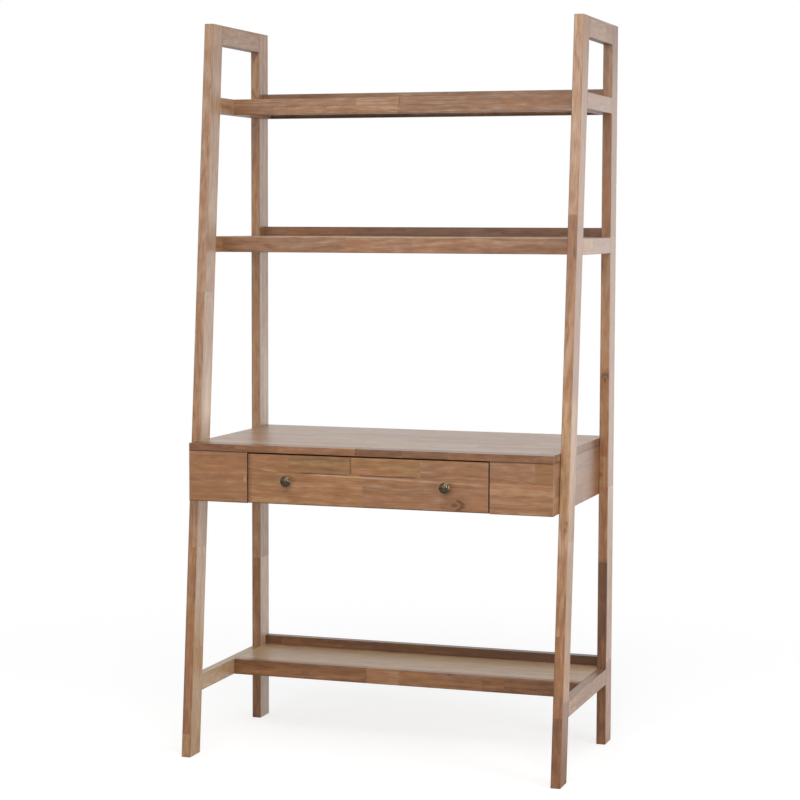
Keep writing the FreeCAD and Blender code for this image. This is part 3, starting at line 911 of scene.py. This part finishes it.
def show(item):
    """Put an object in the scene."""
    bpy.context.scene.collection.objects.link(item)


def front_leg_axes():
    """Grain direction of the front legs, the direction across them, and their front foot corner."""
    leg_depth = REAR_LEG_HIGH.y - REAR_LEG_LOW.y
    lean = LEG_HIGH.y - LEG_LOW.y - leg_depth
    along = Vector((0, lean, LEG_HIGH.z - LEG_LOW.z)).normalized()
    return along, along.cross(X), Vector((0, LEG_LOW.y, 0))


class LADDERDESK_OT_side_frames(bpy.types.Operator):
    """Finish the legs and side rails of both frames"""

    bl_idname = "ladder_desk.side_frames"
    bl_label = "Side frames"

    def execute(self, context):
        along, across, foot = front_leg_axes()
        rear_foot = Vector((0, REAR_LEG_LOW.y, 0))
        for side, seed in (("left", 11.0), ("right", 31.0)):
            dress_board(side + "_front_leg", along, across, seed, origin=foot)
            dress_board(side + "_rear_leg", Z, Y, seed + 1.0, origin=rear_foot)
            for step, rail in enumerate(("top", "upper", "middle", "lower")):
                dress_board(f"{side}_{rail}_rail", Y, Z, seed + 2.0 + step)
        return {"FINISHED"}


class LADDERDESK_OT_shelves(bpy.types.Operator):
    """Finish the three shelves"""

    bl_idname = "ladder_desk.shelves"
    bl_label = "Shelves"

    def execute(self, context):
        boards = (("panel", X, Y), ("apron", X, Z), ("back_rail", X, Z))
        boards += (("left_cleat", Y, Z), ("right_cleat", Y, Z))
        for shelf, seed in (("top", 51.0), ("middle", 61.0), ("lower", 71.0)):
            for step, (board, along, across) in enumerate(boards):
                dress_board(f"{shelf}_shelf_{board}", along, across, seed + step)
        return {"FINISHED"}


class LADDERDESK_OT_desk_case(bpy.types.Operator):
    """Finish the desktop and the case under it"""

    bl_idname = "ladder_desk.desk_case"
    bl_label = "Desk case"

    def execute(self, context):
        dress_board("desktop", X, Y, seed=81.0)
        dress_board("case_back", X, Z, seed=82.0)
        for number, side in enumerate(("left", "right")):
            dress_board(f"case_{side}_side", Y, Z, seed=83.0 + number)
            dress_board(side + "_flank", X, Z, seed=85.0 + number)
            dress_board(side + "_divider", Y, Z, seed=87.0 + number)
        return {"FINISHED"}


class LADDERDESK_OT_drawer(bpy.types.Operator):
    """Finish the drawer front and the box behind it"""

    bl_idname = "ladder_desk.drawer"
    bl_label = "Drawer"

    def execute(self, context):
        dress_board("drawer_front", X, Z, seed=91.0)
        boards = (("box_front", X, Z, 0.13), ("back", X, Z, 0.29), ("bottom", X, Y, 0.71))
        boards += (("left_side", Y, Z, 0.43), ("right_side", Y, Z, 0.59))
        for board, *axes, seed in boards:
            dress_board("drawer_" + board, *axes, seed, drawer_wood_material)
        return {"FINISHED"}


def knob_profile(metal):
    """Outline of a knob as (radius, distance from the drawer, wear) from its foot to its crown."""
    reach = KNOB_HIGH.y - KNOB_LOW.y
    radius = (KNOB_HIGH.x - KNOB_LOW.x) / 2
    base = metal.base_radius
    neck = metal.neck_radius
    foot_bevel = 0.0004
    shoulder_width = 0.0006
    shoulder_height = 0.0005
    base_height = 0.0020
    head_start = 0.0130
    rim_end = 0.0176
    rim_middle = (head_start + rim_end) / 2
    profile = [
        (base - foot_bevel, 0.0, 0.2),
        (base, foot_bevel, 0.5),
        (base, base_height - shoulder_height, 0.5),
        (base - shoulder_width, base_height, 0.3),
    ]
    cove_foot = base - 0.0012
    head_foot = radius * 0.72
    cove_start = base_height + 0.0003
    cove_length = head_start - 0.0008 - base_height
    cove_steps = 10
    for step in range(cove_steps + 1):
        share = step / cove_steps
        flare = (2 * share - 1) ** 2
        limit = cove_foot if share < 0.5 else head_foot
        profile.append((neck + flare * (limit - neck), cove_start + share * cove_length, 0.0))
    bead_steps = 8
    bead = (rim_end - head_start) / 2
    for step in range(bead_steps + 1):
        turn = math.pi * (step / bead_steps - 0.5)
        bead_radius = radius - metal.rim_width + metal.rim_width * math.cos(turn)
        profile.append((bead_radius, rim_middle + bead * math.sin(turn), 1.0))
    groove_width = 0.0003
    groove_depth = 0.0004
    dome_edge = radius - metal.rim_width - groove_width
    profile.append((dome_edge, rim_end - groove_depth, 0.0))
    dome_sink = 0.0002
    dome_height = reach - rim_end
    crown_wear = 0.15
    dome_steps = 14
    for step in range(1, dome_steps + 1):
        turn = 0.5 * math.pi * step / dome_steps
        place = rim_end - dome_sink + (dome_height + dome_sink) * math.sin(turn)
        profile.append((dome_edge * math.cos(turn), place, crown_wear * step / dome_steps))
    return profile


def turned_mesh(name, profile, segments=64):
    """Mesh of a profile turned about its axis, which points to -Y from the origin."""
    smallest_radius = 1e-6
    shape = bmesh.new()
    wear = shape.verts.layers.float.new("wear")
    turns = [2 * math.pi * step / segments for step in range(segments)]
    rings = []
    for radius, place, worn in profile:
        points = [(radius * math.cos(turn), -place, radius * math.sin(turn)) for turn in turns]
        if radius < smallest_radius:
            points = [(0, -place, 0)]
        ring = [shape.verts.new(point) for point in points]
        for corner in ring:
            corner[wear] = worn
        rings.append(ring)
    shape.faces.new(rings[0])
    for ring, following in zip(rings, rings[1:]):
        for step in range(segments):
            after = (step + 1) % segments
            corners = [ring[step], ring[after]]
            if len(following) == 1:
                corners.append(following[0])
            else:
                corners += [following[after], following[step]]
            shape.faces.new(corners)
    bmesh.ops.recalc_face_normals(shape, faces=shape.faces)
    mesh = bpy.data.meshes.new(name)
    shape.to_mesh(mesh)
    shape.free()
    mesh.shade_smooth()
    mesh.set_sharp_from_angle(angle=math.radians(50))
    return mesh


class LADDERDESK_OT_knobs(bpy.types.Operator):
    """Turn the two knobs and give them antique brass"""

    bl_idname = "ladder_desk.knobs"
    bl_label = "Knobs"

    def execute(self, context):
        mesh = turned_mesh("knob_turning", knob_profile(context.scene.ladder_desk_metal))
        mesh.materials.append(brass_material())
        for side in ("left", "right"):
            low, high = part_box(side + "_knob")
            knob = bpy.data.objects.new(side + "_brass_knob", mesh)
            knob.location = ((low.x + high.x) / 2, high.y, (low.z + high.z) / 2)
            show(knob)
            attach(knob, DRAWER_BODY)
            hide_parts(side + "_knob")
        return {"FINISHED"}


class LADDERDESK_OT_slides(bpy.types.Operator):
    """Finish the drawer slides"""

    bl_idname = "ladder_desk.slides"
    bl_label = "Drawer slides"

    def execute(self, context):
        material = steel_material("zinc_slides", blotch_size=0.006, roughness=0.34)
        for side in ("left", "right"):
            for member in ("case", "middle", "drawer"):
                dress(f"{side}_slide_{member}_member", material)
        return {"FINISHED"}


class LADDERDESK_OT_screws(bpy.types.Operator):
    """Finish the screws"""

    bl_idname = "ladder_desk.screws"
    bl_label = "Screws"

    def execute(self, context):
        material = steel_material("zinc_screws", blotch_size=0.002, roughness=0.40)
        for place in ("shelf", "case", "slide_case", "slide_drawer", "drawer_front", "knob"):
            dress(place + "_screws", material)
        return {"FINISHED"}


# --- Stage ---

# Each lamp's place, the height on the desk's middle line that it faces, and its size
LAMPS = {
    "key": ((0.50, -2.6, 3.3), 0.9, 2.7),
    "fill": ((-1.2, -4.4, 1.7), 0.9, 2.4),
    "spark": ((1.15, -4.0, 1.40), 0.9, 0.16),
    "side": ((3.4, -1.5, 0.85), 0.7, 1.5),
    "rim": ((1.6, 4.8, 0.70), 0.7, 2.6),
}


def grey(value):
    """A grey colour."""
    return (value, value, value, 1)


def seen_directly(tree):
    """1 for what the camera, a reflection or a view through glass sees, 0 for lighting."""
    rays = tree.nodes.new("ShaderNodeLightPath").outputs
    seen = larger(rays["Is Camera Ray"], rays["Is Glossy Ray"])
    return larger(seen, rays["Is Transmission Ray"])


def mix_shaders(share, first, second):
    """first at share 0, second at share 1."""
    inputs = {0: share, 1: first.outputs[0], 2: second.outputs[0]}
    return add_node("ShaderNodeMixShader", inputs)


def floor_material(stage):
    """Pale floor: it looks white where nothing shades it, and keeps the desk's shadow.

    Reflections see the white floor behind the desk, and the plain floor in front of it.
    """
    shaded_grey = 0.42
    glow_grey = 0.70
    shadow_fade = (0.9, 2.4)
    front_to_back = (-0.1, 0.5)
    material, tree = new_material("pale_floor")
    tree.nodes.clear()
    plain = add_node("ShaderNodeBsdfDiffuse", {"Color": stage.floor_colour}, tree)
    shaded = add_node("ShaderNodeBsdfDiffuse", {"Color": grey(shaded_grey)}, tree)
    glow = add_node("ShaderNodeEmission", {"Color": grey(glow_grey), "Strength": 1.0}, tree)
    both = add_node("ShaderNodeAddShader", {0: shaded.outputs[0], 1: glow.outputs[0]})
    white = add_node("ShaderNodeEmission", {"Color": WHITE, "Strength": 1.0}, tree)
    place = tree.nodes.new("ShaderNodeTexCoord").outputs["Object"]
    around = mix_shaders(smooth_step(length_of(place), *shadow_fade), both, white)
    camera_ray = tree.nodes.new("ShaderNodeLightPath").outputs["Is Camera Ray"]
    behind = smooth_step(split(place)[1], *front_to_back)
    share = larger(camera_ray, times(seen_directly(tree), behind))
    chosen = mix_shaders(share, plain, around)
    add_node("ShaderNodeOutputMaterial", {"Surface": chosen.outputs[0]})
    arrange(tree)
    return material


def make_floor(stage):
    """Round floor under the desk."""
    shape = bmesh.new()
    bmesh.ops.create_circle(shape, cap_ends=True, segments=96, radius=stage.floor_radius)
    mesh = bpy.data.meshes.new("floor")
    shape.to_mesh(mesh)
    shape.free()
    mesh.materials.append(floor_material(stage))
    floor = bpy.data.objects.new("floor", mesh)
    show(floor)
    floor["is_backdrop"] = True


def make_world(stage):
    """White surroundings, with their own strength where they light the desk."""
    world = bpy.data.worlds.new("white_studio")
    world.use_nodes = True
    tree = world.node_tree
    tree.nodes.clear()
    kind = "ShaderNodeBackground"
    lighting = add_node(kind, {"Color": WHITE, "Strength": stage.sky_strength}, tree)
    seen = add_node(kind, {"Color": WHITE, "Strength": 1.0}, tree)
    chosen = mix_shaders(seen_directly(tree), lighting, seen)
    add_node("ShaderNodeOutputWorld", {"Surface": chosen.outputs[0]})
    arrange(tree)
    bpy.context.scene.world = world


def make_lamp(name, power, place, height, size):
    """Square soft lamp that faces the middle line of the desk."""
    lamp = bpy.data.lights.new(name, "AREA")
    lamp.shape = "SQUARE"
    lamp.size = size
    lamp.energy = power
    holder = bpy.data.objects.new(name, lamp)
    holder.location = place
    facing = Vector((0, 0, height)) - Vector(place)
    holder.rotation_euler = facing.to_track_quat("-Z", "Y").to_euler()
    holder.visible_camera = False
    show(holder)


def make_camera(stage):
    """Camera at the usual view of the desk."""
    lens = bpy.data.cameras.new("camera")
    lens.lens = stage.camera_lens
    lens.sensor_width = 36.0
    lens.clip_end = 100.0
    camera = bpy.data.objects.new("camera", lens)
    turn = Matrix.Rotation(stage.camera_yaw, 4, "Z")
    turn @= Matrix.Rotation(math.pi / 2 + stage.camera_pitch, 4, "X")
    turn @= Matrix.Rotation(stage.camera_roll, 4, "Z")
    camera.matrix_world = Matrix.Translation(stage.camera_place) @ turn
    show(camera)
    bpy.context.scene.camera = camera


class LADDERDESK_OT_stage(bpy.types.Operator):
    """Set up the floor, the lamps, the white surroundings and the camera"""

    bl_idname = "ladder_desk.stage"
    bl_label = "Stage"

    def execute(self, context):
        stage = context.scene.ladder_desk_stage
        context.scene.view_settings.view_transform = "Standard"
        make_floor(stage)
        make_world(stage)
        for name, setting in LAMPS.items():
            make_lamp(name + "_lamp", getattr(stage, name + "_power"), *setting)
        make_camera(stage)
        return {"FINISHED"}


# --- Panel and registration ---


class LADDERDESK_PT_panel(bpy.types.Panel):
    """Settings and steps of the ladder desk"""

    bl_idname = "LADDERDESK_PT_panel"
    bl_label = "Ladder Desk"
    bl_space_type = "VIEW_3D"
    bl_region_type = "UI"
    bl_category = "Ladder Desk"

    def draw(self, context):
        scene = context.scene
        for settings in (scene.ladder_desk_wood, scene.ladder_desk_metal, scene.ladder_desk_stage):
            box = self.layout.box()
            for name in settings.__annotations__:
                box.prop(settings, name)
        for operator in OPERATORS:
            self.layout.operator(operator.bl_idname)


OPERATORS = (
    LADDERDESK_OT_side_frames,
    LADDERDESK_OT_shelves,
    LADDERDESK_OT_desk_case,
    LADDERDESK_OT_drawer,
    LADDERDESK_OT_knobs,
    LADDERDESK_OT_slides,
    LADDERDESK_OT_screws,
    LADDERDESK_OT_stage,
)
SETTINGS = {
    "ladder_desk_wood": DeskWoodSettings,
    "ladder_desk_metal": DeskMetalSettings,
    "ladder_desk_stage": DeskStageSettings,
}
CLASSES = (*SETTINGS.values(), *OPERATORS, LADDERDESK_PT_panel)


def register():
    for kind in CLASSES:
        bpy.utils.register_class(kind)
    for name, settings in SETTINGS.items():
        setattr(bpy.types.Scene, name, PointerProperty(type=settings))


def unregister():
    for name in SETTINGS:
        delattr(bpy.types.Scene, name)
    for kind in reversed(CLASSES):
        bpy.utils.unregister_class(kind)


def main():
    register()
    bpy.ops.ladder_desk.stage()
    bpy.ops.ladder_desk.side_frames()
    bpy.ops.ladder_desk.shelves()
    bpy.ops.ladder_desk.desk_case()
    bpy.ops.ladder_desk.drawer()
    bpy.ops.ladder_desk.knobs()
    bpy.ops.ladder_desk.slides()
    bpy.ops.ladder_desk.screws()
    visual_box = [list(corner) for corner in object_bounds()]


if __name__ == "__main__":
    main()
